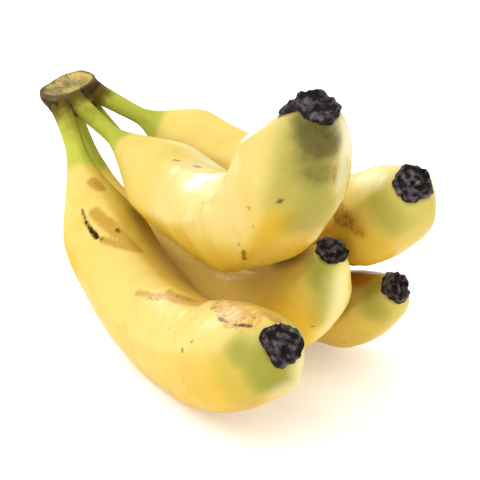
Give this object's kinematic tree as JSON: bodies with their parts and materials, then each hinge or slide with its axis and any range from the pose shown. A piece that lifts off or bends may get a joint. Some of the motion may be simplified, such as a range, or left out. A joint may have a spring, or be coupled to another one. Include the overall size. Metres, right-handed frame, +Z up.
{
  "type": "hand of bananas",
  "caption": "Ripe curved bananas that grow side by side from one cut crown, with green stalks and dark dried flower ends, lying on their outer curves.",
  "frame": {"origin": "on the surface that the hand lies on, under the middle of its box", "axes": "+Z up, crown towards -X +Y, flower ends towards -Y and +X; -Y is the side seen first"},
  "size_m": [0.1456, 0.1868, 0.1111],
  "materials": {
    "peel": "ripe yellow banana peel, satin, lime green on the stalks and near the flower ends",
    "crown": "tan dried cut face with a dark brown rim",
    "flower_end": "nearly black, dry and cracked"
  },
  "bodies": {
    "root": {"crown": "crown", "finger_front": "peel", "finger_top": "peel", "finger_back": "peel", "finger_middle": "peel", "finger_right": "peel", "flower_end_front": "flower_end", "flower_end_top": "flower_end", "flower_end_back": "flower_end", "flower_end_middle": "flower_end", "flower_end_right": "flower_end"}
  },
  "joints": []
}
